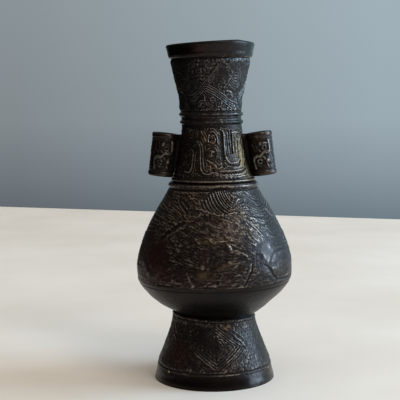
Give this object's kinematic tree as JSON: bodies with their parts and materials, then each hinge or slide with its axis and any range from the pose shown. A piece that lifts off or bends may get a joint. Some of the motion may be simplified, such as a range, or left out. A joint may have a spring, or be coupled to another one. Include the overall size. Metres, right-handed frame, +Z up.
{
  "type": "arrow vase",
  "caption": "Round cast bronze vase with a trumpet neck, small open tubes at the sides of its collar, a full belly and a flared hollow foot.",
  "frame": {"origin": "middle of the foot's lower edge, on the surface the vase stands on", "axes": "+Z up along the vase's axis, +X towards the right ear, +Y towards the back, so the pictured front faces -Y"},
  "size_m": [0.1014, 0.1014, 0.22],
  "materials": {
    "cast_bronze": "dark brown patinated cast bronze with carved relief, rubbed warmer on the high points",
    "plain_bronze": "dark brown patinated bronze, plain and smooth",
    "fastener_bronze": "bare bronze pin and rivet ends, hammered over and rubbed"
  },
  "bodies": {
    "root": {"neck_casting": "cast_bronze", "collar_casting": "cast_bronze", "belly_casting": "cast_bronze", "bowl_casting": "plain_bronze", "foot_casting": "cast_bronze", "base_plate": "plain_bronze", "left_ear": "cast_bronze", "right_ear": "cast_bronze", "left_ear_rivet_upper": "fastener_bronze", "left_ear_rivet_lower": "fastener_bronze", "right_ear_rivet_upper": "fastener_bronze", "right_ear_rivet_lower": "fastener_bronze", "base_pin_1": "fastener_bronze", "base_pin_2": "fastener_bronze", "base_pin_3": "fastener_bronze"}
  },
  "joints": []
}
